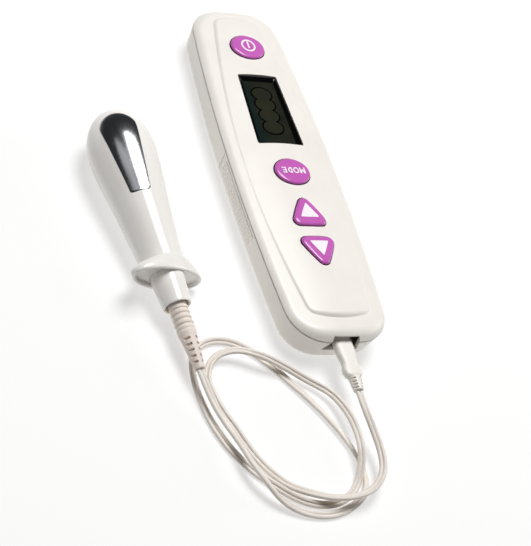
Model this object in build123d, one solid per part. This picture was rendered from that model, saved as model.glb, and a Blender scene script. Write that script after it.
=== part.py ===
# Hand-held pelvic-floor muscle stimulator: a stick-shaped controller, a twin lead and a plug-in probe.
# Millimetres.  +Y runs along the stick towards the power button, +X across it, +Z up from the table.
import os
from build123d import *

os.makedirs("parts", exist_ok=True)

# ---- driving dimensions ------------------------------------------------------------------
CREST_Z = 17.2            # middle of the raised control panel
SEAM_Z = 12.9             # joint between the two shells
SEAM_GAP = 0.25
WALL = 1.7
END_Y = 77.0              # half the length of the stick
DOOR_Y = 6.0              # where the battery door starts
DOOR_GAP = 0.3
DRAFT = 7.0
BELLY_R = 5.0
PANEL_CROWN_R = 69.0
SHOULDER_CROWN_R = 122.0
SHOULDER_Z = 16.1
SHOULDER_RISE, SHOULDER_LEAN = 3.3, 2.6    # the wall above the seam leans in
STEP_LOW_Z, STEP_RISE, STEP_LEAN = 14.0, 3.6, 4.0    # the soft step up to the panel
BOARD_Z = 12.75
BOARD_T = 0.8
BUTTON_TOP = 18.1
BUTTON_FLOOR = 14.95
BUTTON_FLANGE_T = 0.45
BUTTON_GAP = 0.35
PRINT_T = 0.12
POWER_Y = 55.2
MODE_Y = -5.5
POWER_RX, POWER_RY = 7.1, 5.8
MODE_RX, MODE_RY = 7.2, 5.85
UP_APEX_Y, UP_BASE_Y = -16.2, -29.6
DOWN_BASE_Y, DOWN_APEX_Y = -35.2, -48.6
ARROW_HALF = 7.6
WINDOW_TOP_Y, WINDOW_TOP_HALF = 41.4, 8.3
WINDOW_LOW_Y, WINDOW_LOW_HALF = 7.9, 9.7
CELL_D, CELL_L = 10.5, 44.5
CELL_X, CELL_Z = 5.6, 7.0
CELL_Y = -35.0
PLUG_Z = 10.5
PLUG_W, PLUG_T = 7.2, 3.8
CORD_D = 2.8
CORD_START = (0.0, -95.0, 10.5)
PROBE_BULB = (-63.4, 3.3, 12.05)
PROBE_END = (-55.3, -82.7, 7.1)
BULB_R = 12.0
NOSE_L = 17.3
NECK_END = 62.4
FLANGE_HALF_W, FLANGE_HALF_T = 16.0, 7.0
FLANGE_ROLL = 22.0        # wings turned about the probe's axis
ELECTRODE_ROLL = -21.0    # electrodes turned about the probe's axis
ELECTRODE_T = 0.5


def save(shape, name):
    shape.label = name
    export_step(shape, os.path.join("parts", name + ".step"))
    print(name, round(shape.volume, 1))


def prism(face, z_low, z_high):
    return extrude(Pos(0, 0, z_low) * face, amount=z_high - z_low, dir=(0, 0, 1))


def box(x0, x1, y0, y1, z0, z1):
    return Pos((x0 + x1) / 2, (y0 + y1) / 2, (z0 + z1) / 2) * Box(x1 - x0, y1 - y0, z1 - z0)


def rod(x, y, z0, z1, radius):
    return Pos(x, y, (z0 + z1) / 2) * Cylinder(radius, z1 - z0)


def barrel_plan(top, middle, low, top_bulge, low_bulge, top_r, low_r):
    """A long four-sided outline with bowed sides and rounded corners."""
    right = ThreePointArc((top[0], top[1]), (middle[0], middle[1]), (low[0], low[1]))
    bottom = ThreePointArc((low[0], low[1]), (0, low_bulge), (-low[0], low[1]))
    left = ThreePointArc((-low[0], low[1]), (-middle[0], middle[1]), (-top[0], top[1]))
    head = ThreePointArc((-top[0], top[1]), (0, top_bulge), (top[0], top[1]))
    face = make_face([right, bottom, left, head])
    corners = face.vertices().sort_by(Axis.Y)
    face = fillet(corners[2:], top_r)
    corners = [v for v in face.vertices() if abs(v.Y - low[1]) < 0.01 and abs(abs(v.X) - low[0]) < 0.01]
    return fillet(corners, low_r)


def crown(radius, z_top, z_low):
    """A long block whose top is part of a cylinder lying along Y."""
    half = 26.0
    drop = radius - (radius ** 2 - half ** 2) ** 0.5
    edges = [
        ThreePointArc((-half, 0, z_top - drop), (0, 0, z_top), (half, 0, z_top - drop)),
        Line((half, 0, z_top - drop), (half, 0, z_low)),
        Line((half, 0, z_low), (-half, 0, z_low)),
        Line((-half, 0, z_low), (-half, 0, z_top - drop)),
    ]
    return extrude(make_face(edges), amount=90, dir=(0, 1, 0), both=True)


def trapezoid(y_top, half_top, y_low, half_low, grow, corner):
    pts = [
        (-half_top - grow, y_top + grow),
        (half_top + grow, y_top + grow),
        (half_low + grow, y_low - grow),
        (-half_low - grow, y_low - grow),
    ]
    face = make_face(Polyline(*pts, close=True))
    return fillet(face.vertices(), corner)


def oval(rx, ry, y, grow=0.0):
    return Pos(0, y, 0) * make_face(Ellipse(rx + grow, ry + grow).edges())


def arrow(apex_y, base_y, half, bow, corner, grow=0.0):
    """A rounded triangle with slightly bowed sides."""
    sign = 1.0 if apex_y > base_y else -1.0
    a = (0.0, apex_y + sign * 2.0 * grow)
    b = (half + 1.6 * grow, base_y - sign * grow)
    c = (-half - 1.6 * grow, base_y - sign * grow)
    mid_right = ((a[0] + b[0]) / 2 + bow, (a[1] + b[1]) / 2 + sign * bow * 0.55)
    mid_left = (-mid_right[0], mid_right[1])
    base_mid = (0.0, b[1] - sign * bow * 0.8)
    face = make_face([
        ThreePointArc(a, mid_right, b),
        ThreePointArc(b, base_mid, c),
        ThreePointArc(c, mid_left, a),
    ])
    return fillet(face.vertices(), corner + grow)


# ---- outlines ---------------------------------------------------------------------------
plan = barrel_plan((17.6, 75.0), (22.1, 0.0), (19.2, -75.0), END_Y, -END_Y, 13.0, 14.0)
inner_plan = barrel_plan((15.8, 73.2), (20.4, 0.0), (17.4, -73.2), END_Y - WALL, WALL - END_Y, 11.3, 12.3)
panel_room_plan = barrel_plan((8.4, 68.8), (16.2, 2.0), (8.7, -66.8), 71.0, -68.2, 3.8, 2.8)
panel_plan = barrel_plan((11.6, 71.6), (18.5, 2.0), (13.8, -67.6), 74.2, -71.0, 6.0, 6.0)

# ---- upper shell ------------------------------------------------------------------------
d = SHOULDER_LEAN
shoulder_top = barrel_plan(
    (17.6 - 0.8 * d, 75.0 - 0.9 * d), (22.1 - d, 0.0), (19.2 - 0.8 * d, 0.9 * d - 75.0),
    END_Y - d, d - END_Y, 13.0 - d, 14.0 - d)
shoulder = loft([Pos(0, 0, SEAM_Z) * plan, Pos(0, 0, SEAM_Z + SHOULDER_RISE) * shoulder_top], ruled=True)
shoulder = shoulder & crown(SHOULDER_CROWN_R, SHOULDER_Z, SEAM_Z - 1)
rim = shoulder.faces().filter_by(GeomType.CYLINDER).sort_by(Axis.Z)[-1].edges()
shoulder = fillet(rim, 4.0)
d = STEP_LEAN
panel_top = barrel_plan(
    (11.6 - 0.8 * d, 71.6 - 0.9 * d), (18.5 - d, 2.0), (13.8 - 0.8 * d, 0.9 * d - 67.6),
    74.2 - d, d - 71.0, 3.5, 3.5)
panel = loft([Pos(0, 0, STEP_LOW_Z) * panel_plan, Pos(0, 0, STEP_LOW_Z + STEP_RISE) * panel_top], ruled=True)
panel = panel & crown(PANEL_CROWN_R, CREST_Z, SEAM_Z)
panel_rim = panel.faces().filter_by(GeomType.CYLINDER).sort_by(Axis.Z)[-1].edges()
panel = fillet(panel_rim, 1.5)
upper_outer = shoulder + panel

cavity = prism(inner_plan, SEAM_Z - 1, CREST_Z) & crown(PANEL_CROWN_R, CREST_Z - WALL, SEAM_Z - 2)
cavity_low = prism(panel_room_plan, SEAM_Z - 1, CREST_Z)
shoulder_room = prism(inner_plan, SEAM_Z - 1, CREST_Z)
shoulder_room = shoulder_room & crown(SHOULDER_CROWN_R, SHOULDER_Z - WALL, SEAM_Z - 2)
hollow = (cavity & cavity_low) + shoulder_room
upper = upper_outer - hollow

window_cut = prism(trapezoid(WINDOW_TOP_Y, WINDOW_TOP_HALF, WINDOW_LOW_Y, WINDOW_LOW_HALF, 0.0, 0.8), 10, 20)
window_pocket = prism(
    trapezoid(WINDOW_TOP_Y, WINDOW_TOP_HALF, WINDOW_LOW_Y, WINDOW_LOW_HALF, 1.6, 0.8), 11.0, 15.5)
upper = upper - window_cut - window_pocket

button_plans = {
    "power": oval(POWER_RX, POWER_RY, POWER_Y),
    "mode": oval(MODE_RX, MODE_RY, MODE_Y),
    "up": arrow(UP_APEX_Y, UP_BASE_Y, ARROW_HALF, 0.5, 2.3),
    "down": arrow(DOWN_APEX_Y, DOWN_BASE_Y, ARROW_HALF, 0.5, 2.3),
}
button_holes = {
    "power": oval(POWER_RX, POWER_RY, POWER_Y, BUTTON_GAP),
    "mode": oval(MODE_RX, MODE_RY, MODE_Y, BUTTON_GAP),
    "up": arrow(UP_APEX_Y, UP_BASE_Y, ARROW_HALF, 0.5, 2.3, BUTTON_GAP),
    "down": arrow(DOWN_APEX_Y, DOWN_BASE_Y, ARROW_HALF, 0.5, 2.3, BUTTON_GAP),
}
button_flanges = {
    "power": oval(POWER_RX, POWER_RY, POWER_Y, 1.0),
    "mode": oval(MODE_RX, MODE_RY, MODE_Y, 1.0),
    "up": arrow(UP_APEX_Y, UP_BASE_Y, ARROW_HALF, 0.5, 2.3, 0.9),
    "down": arrow(DOWN_APEX_Y, DOWN_BASE_Y, ARROW_HALF, 0.5, 2.3, 0.9),
}
button_rooms = {
    "power": oval(POWER_RX, POWER_RY, POWER_Y, 1.4),
    "mode": oval(MODE_RX, MODE_RY, MODE_Y, 1.4),
    "up": arrow(UP_APEX_Y, UP_BASE_Y, ARROW_HALF, 0.5, 2.3, 1.3),
    "down": arrow(DOWN_APEX_Y, DOWN_BASE_Y, ARROW_HALF, 0.5, 2.3, 1.3),
}
for key in button_plans:
    upper = upper - prism(button_holes[key], 10.0, 20.0)
    upper = upper - prism(button_rooms[key], 11.0, BUTTON_FLOOR + BUTTON_FLANGE_T + 0.05)

# bosses for the board and the case screws
CASE_SCREWS = [(11.5, 64.0), (-11.5, 64.0), (16.2, -4.0), (-16.2, -4.0)]
BOARD_SCREWS = [(10.6, 46.5), (-10.6, 46.5), (10.6, -42.0), (-10.6, -42.0)]
for x, y in CASE_SCREWS:
    upper = upper + (rod(x, y, SEAM_Z, 15.2, 2.2) & upper_outer) - rod(x, y, 8.0, 14.3, 0.75)
for x, y in BOARD_SCREWS:
    upper = upper + (rod(x, y, BOARD_Z + BOARD_T, 15.4, 1.7) & upper_outer) - rod(x, y, 10.0, 15.1, 0.6)

# opening for the lead's plug, wider at the seam than at its top
opening = make_face(Polyline((-7.2, 0, 7.6), (7.2, 0, 7.6), (5.0, 0, 14.6), (-5.0, 0, 14.6), close=True))
opening = Pos(0, -71.2, 0) * extrude(opening, amount=20, dir=(0, -1, 0))
upper = upper - opening
save(upper, "upper_shell")

# ---- lower shell and battery door ---------------------------------------------------------
LOW_TOP = SEAM_Z - SEAM_GAP
belly = extrude(Pos(0, 0, LOW_TOP) * plan, amount=-LOW_TOP, taper=DRAFT)
belly = fillet(belly.faces().sort_by(Axis.Z)[0].edges(), BELLY_R)
belly_in = extrude(Pos(0, 0, LOW_TOP) * inner_plan, amount=-(LOW_TOP - 1.4), taper=DRAFT)
belly_in = fillet(belly_in.faces().sort_by(Axis.Z)[0].edges(), BELLY_R - 1.4)
tub = belly - belly_in

rear = tub & box(-40, 40, DOOR_Y + DOOR_GAP, 90, -1, 20)
bulkhead = belly & box(-40, 40, DOOR_Y + DOOR_GAP, DOOR_Y + DOOR_GAP + 1.6, 0, 20)
rear = rear + bulkhead - box(-9, 9, 5, 9, 9.5, 12.7)
for x, y in CASE_SCREWS[:2]:
    rear = rear + (rod(x, y, 0.5, LOW_TOP, 2.4) & belly) - rod(x, y, -1, 2.2, 1.9) - rod(x, y, -1, 20, 0.95)

TRAY_W = 12.6
tray = box(-TRAY_W, TRAY_W, -61.5, DOOR_Y + 0.5, 2.0, LOW_TOP)
tray = tray - box(-TRAY_W + 1.2, TRAY_W - 1.2, -60.3, -9.4, -1, 12.3)
tray = tray - box(-TRAY_W + 1.2, TRAY_W - 1.2, -8.2, 20, -1, 11.5)
for x, y in CASE_SCREWS[2:]:
    root = x * 0.74
    ear = rod(x, y, 5.0, LOW_TOP, 2.3) + box(min(x, root), max(x, root), y - 1.2, y + 1.2, 5.0, LOW_TOP)
    tray = tray + ear - rod(x, y, 0, 7.0, 1.75) - rod(x, y, 0, 20, 0.95)
for x, y in BOARD_SCREWS[2:]:
    tray = tray - rod(x, y, 11.9, 20, 1.9)
lower = rear + tray
save(lower, "lower_shell")

door = tub & box(-40, 40, -90, DOOR_Y, -1, 20)
door = door - opening
hook = box(-16.0, -13.6, DOOR_Y - 5, DOOR_Y, 0.8, 3.4) + box(13.6, 16.0, DOOR_Y - 5, DOOR_Y, 0.8, 3.4)
door = door + (hook & belly)
for k in range(5):
    groove = Pos(0, -60.0 - 3.0 * k, 0) * Rot(0, 90, 0) * Cylinder(0.5, 16.0)
    door = door - groove
save(door, "battery_door")

# ---- window, display and buttons ------------------------------------------------------------
WINDOW = (WINDOW_TOP_Y, WINDOW_TOP_HALF, WINDOW_LOW_Y, WINDOW_LOW_HALF)
lens_top = prism(trapezoid(*WINDOW, -0.1, 0.7), 15.45, 16.2)
lens_flange = prism(trapezoid(*WINDOW, 1.3, 0.7), 15.05, 15.45)
save(lens_top + lens_flange, "window_lens")
mask = prism(trapezoid(*WINDOW, 1.3, 0.7), 14.9, 15.05)
mask = mask - prism(trapezoid(37.6, 6.1, 9.6, 7.6, 0.0, 0.5), 14, 16)
save(mask, "window_mask")
save(box(-9.6, 9.6, 7.4, 41.4, BOARD_Z + BOARD_T, 14.9), "lcd_module")

for key in button_plans:
    cap = prism(button_plans[key], BUTTON_FLOOR, BUTTON_TOP)
    cap = fillet(cap.faces().sort_by(Axis.Z)[-1].edges(), 0.7)
    cap = cap + prism(button_flanges[key], BUTTON_FLOOR, BUTTON_FLOOR + BUTTON_FLANGE_T)
    save(cap, key + "_button")

ring = Pos(0, POWER_Y + 0.2, 0) * (Circle(3.0) - Circle(2.3))
bar = Pos(0, POWER_Y + 0.6, 0) * Rectangle(0.7, 3.4)
symbol = prism(ring, BUTTON_TOP, BUTTON_TOP + PRINT_T) + prism(bar, BUTTON_TOP, BUTTON_TOP + PRINT_T)
save(symbol, "power_symbol")
letter_m = Polygon(
    (-4.9, -1.3), (-4.9, 1.3), (-4.3, 1.3), (-3.75, 0.1), (-3.2, 1.3), (-2.6, 1.3), (-2.6, -1.3),
    (-3.1, -1.3), (-3.1, 0.4), (-3.55, -0.6), (-3.95, -0.6), (-4.4, 0.4), (-4.4, -1.3), align=None)
letter_o = Pos(-1.1, 0, 0) * (Ellipse(1.2, 1.35) - Ellipse(0.7, 0.85))
bowl = Pos(0.9, 0, 0) * (Ellipse(1.35, 1.3) - Ellipse(0.85, 0.8))
letter_d = bowl & (Pos(1.65, 0, 0) * Rectangle(1.5, 3.0))
letter_d = letter_d + Pos(0.75, 0, 0) * Rectangle(0.5, 2.6)
letter_e = Polygon(
    (2.9, -1.3), (2.9, 1.3), (4.6, 1.3), (4.6, 0.85), (3.4, 0.85), (3.4, 0.25), (4.4, 0.25),
    (4.4, -0.2), (3.4, -0.2), (3.4, -0.85), (4.6, -0.85), (4.6, -1.3), align=None)
legend = []
for glyph in [letter_m, letter_o, letter_d, letter_e]:
    legend = prism(Pos(0, MODE_Y, 0) * Rot(0, 0, 180) * glyph, BUTTON_TOP, BUTTON_TOP + PRINT_T) + legend
save(legend, "mode_legend")
up_mark = prism(arrow(-20.3, -26.7, 3.8, 0.05, 0.3), BUTTON_TOP, BUTTON_TOP + PRINT_T)
save(up_mark, "up_arrow")
down_mark = prism(arrow(-43.7, -37.3, 3.8, 0.05, 0.3), BUTTON_TOP, BUTTON_TOP + PRINT_T)
save(down_mark, "down_arrow")

# ---- electronics ------------------------------------------------------------------------------
board = box(-10.6, 10.6, -70.0, 59.0, BOARD_Z, BOARD_Z + BOARD_T)
board = board + box(-12.4, 12.4, -44.5, 49.0, BOARD_Z, BOARD_Z + BOARD_T)
for x, y in BOARD_SCREWS:
    board = board - rod(x, y, 12, 15, 0.9)
save(board, "circuit_board")
domes = []
for y in (POWER_Y, MODE_Y, -24.5, -40.5):
    dome = Pos(0, y, BOARD_Z + BOARD_T) * Cone(3.2, 1.6, 0.5, align=(Align.CENTER, Align.CENTER, Align.MIN))
    domes.append(dome)
save(Compound(children=domes), "dome_switches")
save(box(-4, 4, 26, 34, BOARD_Z - 1.2, BOARD_Z), "microcontroller")
save(box(-5, 5, 12, 21, BOARD_Z - 6.0, BOARD_Z), "step_up_transformer")
caps = [rod(-8.5, 40.0, BOARD_Z - 7, BOARD_Z, 2.5), rod(8.5, 40.0, BOARD_Z - 7, BOARD_Z, 2.5)]
save(Compound(children=caps), "output_capacitors")
save(rod(0, 48.0, BOARD_Z - 4.5, BOARD_Z, 4.5), "buzzer")

socket = box(-5.4, 5.4, -71.0, -62.4, 8.0, BOARD_Z - 0.05)
socket = socket - box(-2.9, 2.9, -72, -63.2, PLUG_Z - 1.4, PLUG_Z + 1.4)
save(socket, "lead_socket")

# ---- batteries ----------------------------------------------------------------------------------
for name, side in (("battery_cell_left", -1), ("battery_cell_right", 1)):
    y_plus = CELL_Y + side * (CELL_L / 2 - 0.5)
    can = Pos(side * CELL_X, CELL_Y - side * 0.5, CELL_Z) * Rot(90, 0, 0) * Cylinder(CELL_D / 2, CELL_L - 1.0)
    nub = Pos(side * CELL_X, y_plus, CELL_Z) * Rot(90, 0, 0) * Cylinder(2.7, 1.0)
    save(can + nub, name)
springs = []
plates = []
for side in (-1, 1):
    y_far = CELL_Y + side * 25.2
    y_cell = CELL_Y + side * CELL_L / 2
    y_back = CELL_Y - side * 25.2
    y_end = CELL_Y - side * CELL_L / 2
    span = abs(y_back + side * 0.4 - y_end)
    cone = Cone(3.6, 2.2, span, align=(Align.CENTER, Align.CENTER, Align.MIN))
    spring = Pos(side * CELL_X, y_back + side * 0.4, CELL_Z) * Rot(-90 * side, 0, 0) * cone
    springs.append(spring)
    x0, x1 = sorted((side * 1.6, side * 9.6))
    y0, y1 = sorted((y_far, y_far - side * 0.4))
    plates.append(box(x0, x1, y0, y1, 3.4, 10.6))
    y0, y1 = sorted((y_back, y_back + side * 0.4))
    plates.append(box(x0, x1, y0, y1, 3.4, 10.6))
save(Compound(children=springs), "battery_springs")
save(Compound(children=plates), "battery_plates")

# ---- screws ---------------------------------------------------------------------------------------
case = []
for x, y in CASE_SCREWS[:2]:
    case.append(rod(x, y, 0.9, 2.2, 1.6) + rod(x, y, 2.1, 14.2, 0.7))
for x, y in CASE_SCREWS[2:]:
    case.append(rod(x, y, 5.7, 7.0, 1.6) + rod(x, y, 6.9, 14.2, 0.7))
save(Compound(children=case), "case_screws")
small = []
for x, y in BOARD_SCREWS:
    small.append(rod(x, y, BOARD_Z - 0.8, BOARD_Z, 1.3) + rod(x, y, BOARD_Z - 0.1, 15.0, 0.5))
save(Compound(children=small), "board_screws")

# ---- plug and its strain relief ---------------------------------------------------------------------
half_outline = [
    (3.2, -71.6), (3.6, -78.0), (3.0, -82.6), (2.9, -84.2), (3.6, -86.4), (3.4, -88.4), (2.5, -89.6)]
outline = half_outline + [(-x, y) for x, y in reversed(half_outline)]
grip = make_face(Polyline(*outline, close=True))
grip = prism(grip, PLUG_Z - PLUG_T / 2, PLUG_Z + PLUG_T / 2)
grip = fillet(grip.faces().filter_by(Axis.Z).edges(), 0.6)
save(grip, "plug_housing")
nose = box(-2.6, 2.6, -71.6, -63.6, PLUG_Z - 1.15, PLUG_Z + 1.15)
save(nose, "plug_nose")
FROM_BASE = (Align.CENTER, Align.CENTER, Align.MIN)
relief = Pos(0, -89.6, PLUG_Z) * Rot(90, 0, 0) * Cone(2.3, 1.75, 5.4, align=FROM_BASE)
for k in range(3):
    band = Pos(0, -90.9 - 1.5 * k, PLUG_Z) * Rot(90, 0, 0) * (Cylinder(3, 0.5) - Cylinder(1.45, 0.5))
    slot = box(-4, 4, -100, -80, PLUG_Z - 0.45, PLUG_Z + 0.45)
    relief = relief - (band - slot)
save(relief, "plug_strain_relief")

# ---- probe ---------------------------------------------------------------------------------------------
bulb = Vector(*PROBE_BULB)
tail = Vector(*PROBE_END)
axis = (tail - bulb).normalized()
reach = (tail - bulb).length
probe_plane = Plane(origin=bulb, x_dir=Vector(1, 0, 0) - axis * axis.X, z_dir=axis)
place = Location(probe_plane)


def turned(points):
    """Solid of revolution about the probe's own axis from (radius, station) points."""
    outline = [(0, 0, points[0][1])] + [(r, 0, s) for r, s in points] + [(0, 0, points[-1][1])]
    return revolve(make_face(Polyline(*outline, close=True)), axis=Axis.Z)


def profile(points):
    """Smooth body: a spline through (radius, station) points, closed along the axis."""
    spline = Spline(*[(r, 0, s) for r, s in points], tangents=[(1, 0, 0), (-0.1, 0, 1)])
    close = Polyline((points[-1][0], 0, points[-1][1]), (0, 0, points[-1][1]), (0, 0, points[0][1]))
    return revolve(make_face([spline] + close.edges()), axis=Axis.Z)


BODY = [(0.0, -17.3), (6.2, -15.0), (9.7, -10.6), (11.5, -5.0), (12.0, 0.0), (11.3, 10.3),
        (9.85, 21.9), (8.7, 33.0), (7.9, 41.4), (7.55, 47.6)]
body = profile(BODY)
body_profile = body
skin = profile([(0.0, -17.3 + 0.35)] + [(r - 0.35, s) for r, s in BODY[1:]])
# shield-shaped electrode patch: round towards the nose, straight at the lower end
patch_2d = make_face([
    ThreePointArc((-6.56, -4.5), (0, -11.8), (6.56, -4.5)),
    Line((6.56, -4.5), (3.7, 21.4)),
    Line((3.7, 21.4), (-3.7, 21.4)),
    Line((-3.7, 21.4), (-6.56, -4.5)),
])
patch_2d = fillet([v for v in patch_2d.vertices() if v.Y > 0], 1.0)
# drawn in local X (across) and Z (along), pushed outwards along local +Y and -Y
patch = extrude(Rot(90, 0, 0) * patch_2d, amount=20, dir=(0, 1, 0))
core = profile([(0.0, -17.3 + ELECTRODE_T)] + [(r - ELECTRODE_T, s) for r, s in BODY[1:]])
shell_zone = profile([(0.0, -17.3 - 0.12)] + [(r + 0.12, s) for r, s in BODY[1:]]) - core
cut_zone = profile([(0.0, -17.3 - 1.0)] + [(r + 1.0, s) for r, s in BODY[1:]]) - core
plates_e = []
for turn in (0, 180):
    tool = Rot(0, 0, turn) * patch
    plates_e.append(tool & shell_zone)
    body = body - (tool & cut_zone)
body = body - rod(0, 0, 20.0, 48.0, 1.4)
roll_e = Rot(0, 0, ELECTRODE_ROLL)
# which of the two local directions faces up
up_sign = 1.0 if probe_plane.y_dir.Z > 0 else -1.0
names = ("electrode_upper", "electrode_lower") if up_sign > 0 else ("electrode_lower", "electrode_upper")
spin = Rot(0, 0, -ELECTRODE_ROLL * up_sign)
body_rolled = place * (spin * body)
save(body_rolled, "probe_body")
for name, plate in zip(names, plates_e):
    save(place * (spin * plate), name)

flange_face = make_face(Ellipse(FLANGE_HALF_W, FLANGE_HALF_T).edges())
small_face = Pos(0, 0, 45.4) * make_face(Ellipse(8.4, 7.9).edges())
big_face = Pos(0, 0, 49.4) * flange_face
dome = loft([small_face, big_face])
rim_ring = Pos(0, 0, 49.4) * extrude(flange_face, amount=2.3, dir=(0, 0, 1))
rim_ring = fillet(rim_ring.edges().sort_by(Axis.Z)[-1], 0.8)
inner_face = make_face(Ellipse(FLANGE_HALF_W - 1.5, FLANGE_HALF_T - 1.5).edges())
under = Pos(0, 0, 50.2) * extrude(inner_face, amount=5, dir=(0, 0, 1))
flange = dome + rim_ring - under
neck_h = NECK_END - 50.2
neck = Pos(0, 0, 50.2) * Cone(6.0, 4.9, neck_h, align=FROM_BASE)
flange = flange - body_profile - neck - rod(0, 0, 40, 60, 1.4)
spin_f = Rot(0, 0, -FLANGE_ROLL * up_sign)
save(place * (spin_f * flange), "probe_flange")
neck = neck - Pos(0, 0, 56.0) * Cone(4.3, 3.9, NECK_END - 55.9, align=FROM_BASE)
neck = neck - rod(0, 0, 40, 60, 1.4)
save(place * neck, "probe_neck")
SLEEVE = [(3.0, 56.0), (3.2, 62.4), (3.3, 64.0)]
s = 64.0
for k in range(4):
    SLEEVE = SLEEVE + [(2.9, s + 0.25), (2.9, s + 0.65), (3.3, s + 0.9), (3.35, s + 1.9)]
    s = s + 2.0
SLEEVE = SLEEVE + [(3.3, 72.4), (3.0, 74.6), (1.75, reach)]
sleeve = turned(SLEEVE)
for k in range(5):
    st = 75.2 + 2.15 * k
    for quarter in (0, 90):
        pair = box(1.15, 6, -1.0, 1.0, st, st + 0.8) + box(-6, -1.15, -1.0, 1.0, st, st + 0.8)
        cutter = Rot(0, 0, 45 + quarter) * pair
        sleeve = sleeve - cutter
save(place * sleeve, "probe_strain_relief")

# ---- lead ------------------------------------------------------------------------------
ROUTE = [
    (0.0, -95.0, 10.5), (0.3, -101.5, 10.1), (2.2, -108.5, 8.2), (3.4, -116.0, 6.8),
    (2.0, -123.5, 6.4), (-3.6, -129.5, 6.4), (-11.0, -132.0, 6.4), (-19.0, -131.6, 5.4),
    (-26.2, -128.2, 3.4), (-33.0, -123.4, 1.4), (-38.8, -117.0, 1.4), (-42.8, -109.5, 1.4),
    (-45.6, -101.2, 1.4), (-48.2, -95.4, 1.4), (-49.8, -88.4, 1.4), (-50.6, -82.0, 1.4),
    (-46.6, -74.8, 3.0), (-38.4, -73.4, 5.4), (-30.6, -76.6, 6.6), (-21.8, -80.2, 4.6),
    (-13.4, -84.8, 2.6), (-6.0, -90.5, 3.4), (-3.4, -98.5, 5.2), (-3.0, -106.5, 6.6),
    (-3.4, -113.8, 6.6), (-4.2, -120.0, 3.8), (-7.0, -126.0, 1.4), (-13.2, -130.6, 1.4),
    (-21.0, -132.2, 1.4), (-29.8, -129.8, 1.4), (-37.0, -124.0, 1.4), (-43.8, -117.8, 1.4),
    (-49.2, -110.2, 1.4), (-52.8, -101.4, 1.4), (-54.8, -92.0, 1.4), (-55.4, -82.5, 1.4),
    (-53.6, -73.8, 1.4), (-48.0, -68.4, 1.4), (-40.2, -67.4, 1.4), (-32.6, -70.4, 1.4),
    (-26.2, -76.0, 1.4), (-20.4, -83.0, 1.4), (-14.4, -91.0, 1.4), (-8.8, -100.0, 1.4),
    (-4.6, -109.0, 1.4), (-2.0, -118.5, 1.4), (-3.4, -127.6, 1.4), (-10.8, -133.2, 1.4),
    (-20.0, -135.8, 1.4), (-29.4, -134.4, 1.4), (-37.4, -130.4, 2.8), (-42.8, -124.2, 5.8),
    (-46.2, -117.6, 6.4), (-47.6, -109.5, 5.0), (-50.0, -101.5, 4.2), (-53.6, -92.8, 5.6),
    (-55.3, -82.7, 7.1),
]
radii = []
for before, here, after in zip(ROUTE[:-2], ROUTE[1:-1], ROUTE[2:]):
    run_in = Vector(*here) - Vector(*before)
    run_out = Vector(*after) - Vector(*here)
    turn = run_in.get_angle(run_out)
    half_tan = (1 - Vector(*run_in).normalized().dot(Vector(*run_out).normalized())) / (
        1 + Vector(*run_in).normalized().dot(Vector(*run_out).normalized()))
    radii.append(0.45 * min(run_in.length, run_out.length) / half_tan ** 0.5)
print("cord radii", [round(r, 1) for r in radii], "smallest", round(min(radii), 1))
path = FilletPolyline(*ROUTE, radius=radii)
start_dir = (Vector(*ROUTE[1]) - Vector(*ROUTE[0])).normalized()
section = Plane(origin=ROUTE[0], z_dir=start_dir) * Circle(CORD_D / 2)
cord = sweep(section, path=path)
expected = 3.14159265 * (CORD_D / 2) ** 2 * path.length
print("cord length", round(path.length, 1), "volume", round(cord.volume, 1), "expected", round(expected, 1))
save(cord, "lead_cord")
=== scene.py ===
# A hand-held pelvic floor stimulator: controller stick, twin lead and plug-in probe, around the
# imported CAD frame.
import math
import bmesh
import bpy
from mathutils import Matrix, Vector


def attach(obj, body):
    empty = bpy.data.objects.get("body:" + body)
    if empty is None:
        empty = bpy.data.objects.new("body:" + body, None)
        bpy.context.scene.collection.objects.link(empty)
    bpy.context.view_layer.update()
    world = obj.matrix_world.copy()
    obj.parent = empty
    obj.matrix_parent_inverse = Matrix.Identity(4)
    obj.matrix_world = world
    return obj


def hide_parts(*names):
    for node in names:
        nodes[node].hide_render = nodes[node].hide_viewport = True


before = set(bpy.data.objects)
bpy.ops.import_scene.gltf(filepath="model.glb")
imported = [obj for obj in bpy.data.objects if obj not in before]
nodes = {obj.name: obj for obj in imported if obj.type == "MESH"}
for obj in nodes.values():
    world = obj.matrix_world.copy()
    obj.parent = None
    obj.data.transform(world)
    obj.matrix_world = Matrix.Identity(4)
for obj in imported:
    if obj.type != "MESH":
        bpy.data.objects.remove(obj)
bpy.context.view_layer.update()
scene = bpy.context.scene
MM = 0.001

# ---- camera --------------------------------------------------------------------------------------
# A long lens looks down at about 45 degrees from the probe's side, rolled so that the stick leans to
# the left.
eye = Vector((-291.1, -328.5, 407.3)) * MM
aim = Vector((-19.2, -44.3, 8.0)) * MM
back = (eye - aim).normalized()
across = Vector((-0.0066, 0.8169, 0.5768)).cross(back).normalized()
camera = bpy.data.objects.new("camera", bpy.data.cameras.new("camera"))
camera.data.lens = 105.5
camera.data.sensor_width = 36.0
turned = Matrix((across, back.cross(across), back)).transposed().to_4x4()
camera.matrix_world = Matrix.Translation(eye) @ turned
scene.collection.objects.link(camera)
scene.camera = camera

# ---- floor and light -----------------------------------------------------------------------------
# An opal acrylic light table, glowing evenly from below, with one large softbox overhead and two weak
# ones at the sides. The glow carries the shadows away, and the side walls turned from the lamps fall
# to a soft grey.
scene.view_settings.view_transform = "Standard"


def linear(code):
    """The linear colour of an sRGB hex code."""
    channels = [int(code[i:i + 2], 16) / 255 for i in (1, 3, 5)]
    return [c / 12.92 if c <= 0.04045 else ((c + 0.055) / 1.055) ** 2.4 for c in channels] + [1.0]


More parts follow.
